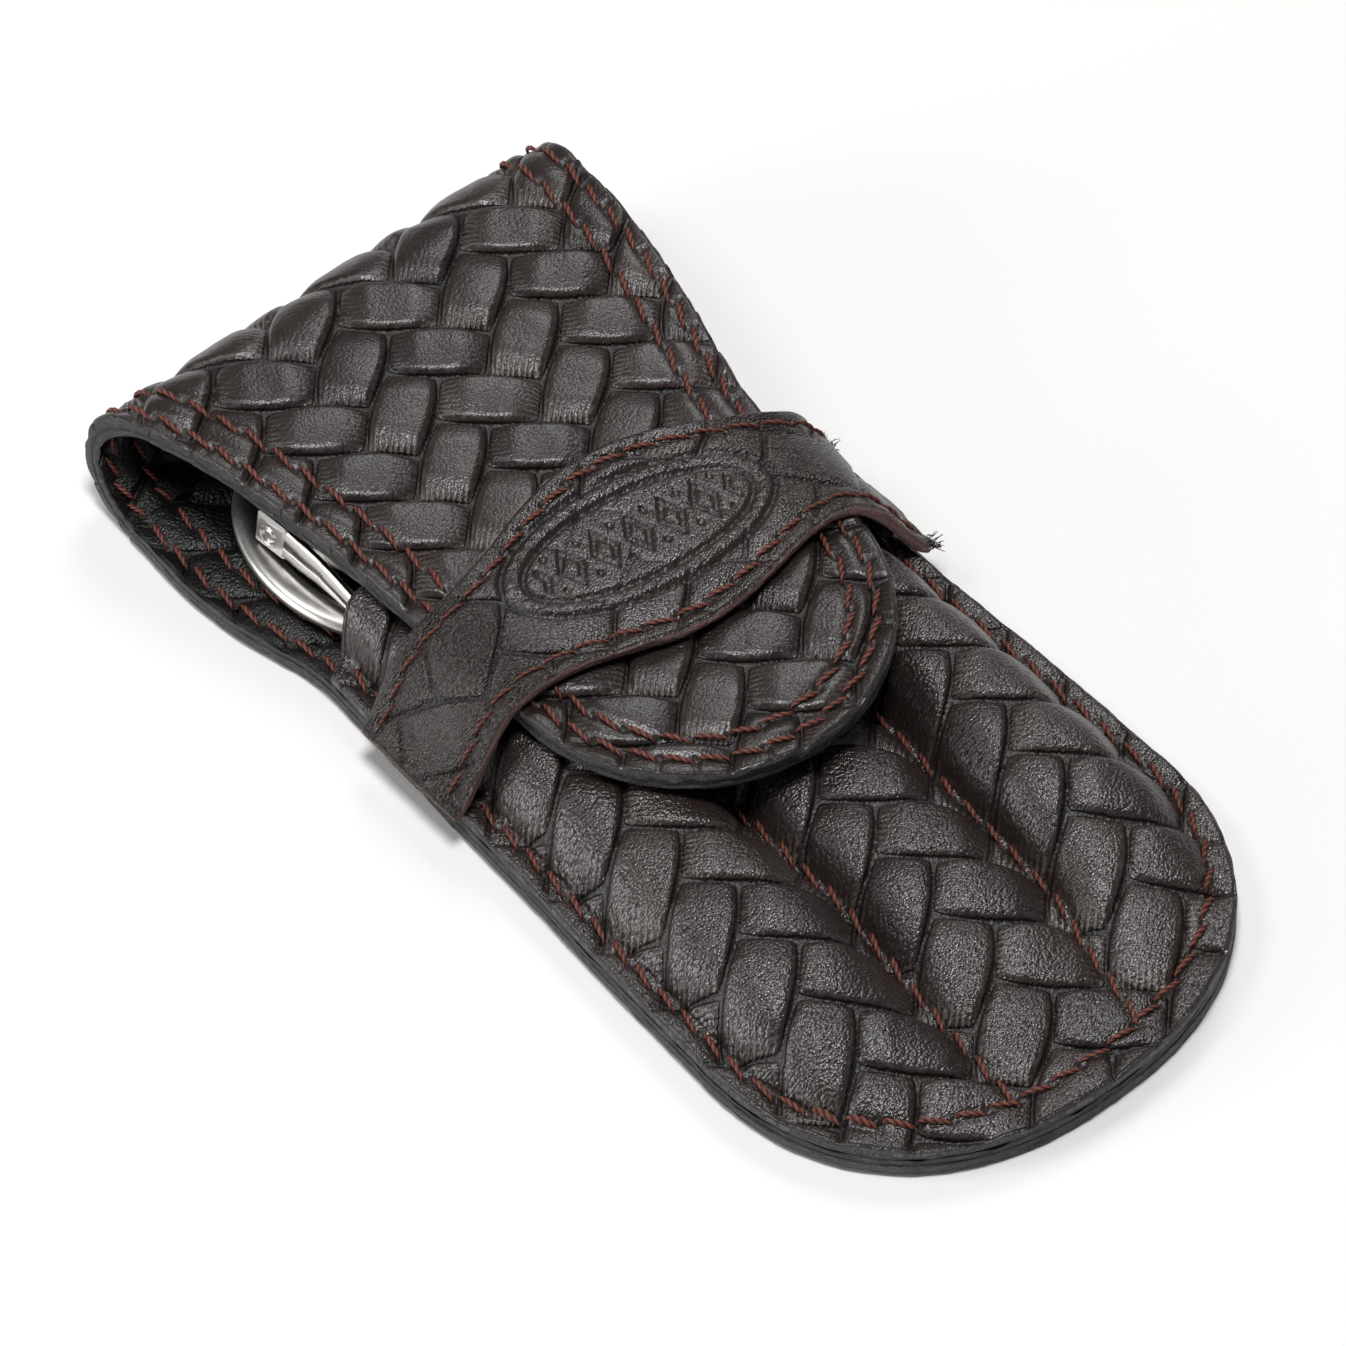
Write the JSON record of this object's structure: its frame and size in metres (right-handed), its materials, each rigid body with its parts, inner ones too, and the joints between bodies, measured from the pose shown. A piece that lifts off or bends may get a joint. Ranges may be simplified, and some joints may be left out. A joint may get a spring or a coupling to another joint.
{
  "type": "flapped leather tool case",
  "caption": "Slim woven-look leather pocket case: a folded flap tucks under a stitched strap over scissors, tweezers and a nail file standing in sewn channels.",
  "frame": {"origin": "centre of the footprint, on the plane the back panel rests on", "axes": "+X to the right seen from the front, +Y along the case towards the fold, +Z out through the front face"},
  "size_m": [0.0572, 0.1188, 0.0154],
  "materials": {
    "leather_outer": "soft sheen, basket-weave embossed",
    "leather_lining": "matte",
    "strap_leather": "soft sheen with a raw brown cut edge",
    "thread": "twisted waxed thread",
    "steel_satin": "satin",
    "steel_polished": "polished",
    "handle": "matte"
  },
  "bodies": {
    "case": {"back_panel": "leather_outer", "back_lining": "leather_lining", "pocket_front": "leather_outer", "rim_thread": "thread", "channel_thread": "thread", "strap": "strap_leather", "strap_thread": "thread", "strap_emblem": "strap_leather"},
    "fold_a": {"fold_lower": "leather_outer"},
    "fold_b": {"fold_middle": "leather_outer", "fold_thread": "thread"},
    "flap_base": {"fold_upper": "leather_outer"},
    "panel_a": {"root_bend": "leather_outer", "panel_a_outer": "leather_outer", "panel_a_lining": "leather_lining", "panel_a_thread": "thread"},
    "panel_b": {"knee_bend": "leather_outer", "panel_b_outer": "leather_outer", "panel_b_lining": "leather_lining", "panel_b_thread": "thread"},
    "tongue": {"tongue_bend": "leather_outer", "tongue_outer": "leather_outer", "tongue_lining": "leather_lining", "tongue_thread": "thread"},
    "scissors_left": {"scissor_blade_left": "steel_satin", "scissor_ring_left": "steel_satin", "scissor_screw": "steel_polished"},
    "scissors_right": {"scissor_blade_right": "steel_satin", "scissor_ring_right": "steel_satin"},
    "tweezers": {"tweezer_block": "steel_satin"},
    "tweezer_near": {"tweezer_leaf_near": "steel_polished"},
    "tweezer_far": {"tweezer_leaf_far": "steel_polished"},
    "file": {"file_blade": "steel_satin", "file_handle": "handle"}
  },
  "joints": [
    {"name": "flap_swing", "type": "hinge", "parent": "case", "child": "fold_a", "pos_m": [0, 0.05477, 0.00197], "axis": [-1, 0, 0], "range_deg": [0, 50], "deforming": ["fold_lower"]},
    {"name": "flap_swing_middle", "type": "hinge", "parent": "fold_a", "child": "fold_b", "pos_m": [0, 0.05745, 0.0066], "axis": [-1, 0, 0], "range_deg": [0, 50], "deforming": ["fold_middle", "fold_thread"]},
    {"name": "flap_swing_top", "type": "hinge", "parent": "fold_b", "child": "flap_base", "pos_m": [0, 0.05477, 0.01123], "axis": [-1, 0, 0], "range_deg": [0, 50], "deforming": ["fold_upper"]},
    {"name": "flap_bow", "type": "hinge", "parent": "flap_base", "child": "panel_a", "pos_m": [0, 0.0497, 0.01195], "axis": [-1, 0, 0], "range_deg": [0, 50], "deforming": ["root_bend"]},
    {"name": "flap_knee", "type": "hinge", "parent": "panel_a", "child": "panel_b", "pos_m": [0, 0.0387, 0.01195], "axis": [1, 0, 0], "range_deg": [0, 100], "deforming": ["knee_bend"]},
    {"name": "tongue_level", "type": "hinge", "parent": "panel_b", "child": "tongue", "pos_m": [0, 0.0277, 0.01195], "axis": [-1, 0, 0], "range_deg": [0, 50], "deforming": ["tongue_bend"]},
    {"name": "scissors_slide", "type": "slide", "parent": "case", "child": "scissors_left", "axis": [0, 1, 0], "range_m": [0, 0.002]},
    {"name": "scissors_pivot", "type": "hinge", "parent": "scissors_left", "child": "scissors_right", "pos_m": [0.0016, -0.008, 0.0045], "axis": [0, 0, -1], "range_deg": [0, 1.5]},
    {"name": "tweezers_slide", "type": "slide", "parent": "case", "child": "tweezers", "axis": [0, 1, 0], "range_m": [0, 0.01]},
    {"name": "tweezers_squeeze", "type": "hinge", "parent": "tweezers", "child": "tweezer_near", "pos_m": [-0.019, 0.035, 0.00745], "axis": [0.2588, 0, 0.9659], "range_deg": [0, 0.6], "stiffness_Nm_per_rad": 0.5},
    {"name": "tweezers_squeeze_far", "type": "hinge", "parent": "tweezers", "child": "tweezer_far", "pos_m": [-0.019, 0.035, 0.00745], "axis": [-0.2588, 0, -0.9659], "range_deg": [0, 0.6]},
    {"name": "file_slide", "type": "slide", "parent": "case", "child": "file", "axis": [0, 1, 0], "range_m": [0, 0.02]}
  ],
  "couplings": [
    {"joint": "flap_swing_middle", "follows": "flap_swing", "ratio": 1},
    {"joint": "flap_swing_top", "follows": "flap_swing", "ratio": 1},
    {"joint": "flap_knee", "follows": "flap_bow", "ratio": 2},
    {"joint": "tongue_level", "follows": "flap_bow", "ratio": 1},
    {"joint": "tweezers_squeeze_far", "follows": "tweezers_squeeze", "ratio": 1}
  ]
}
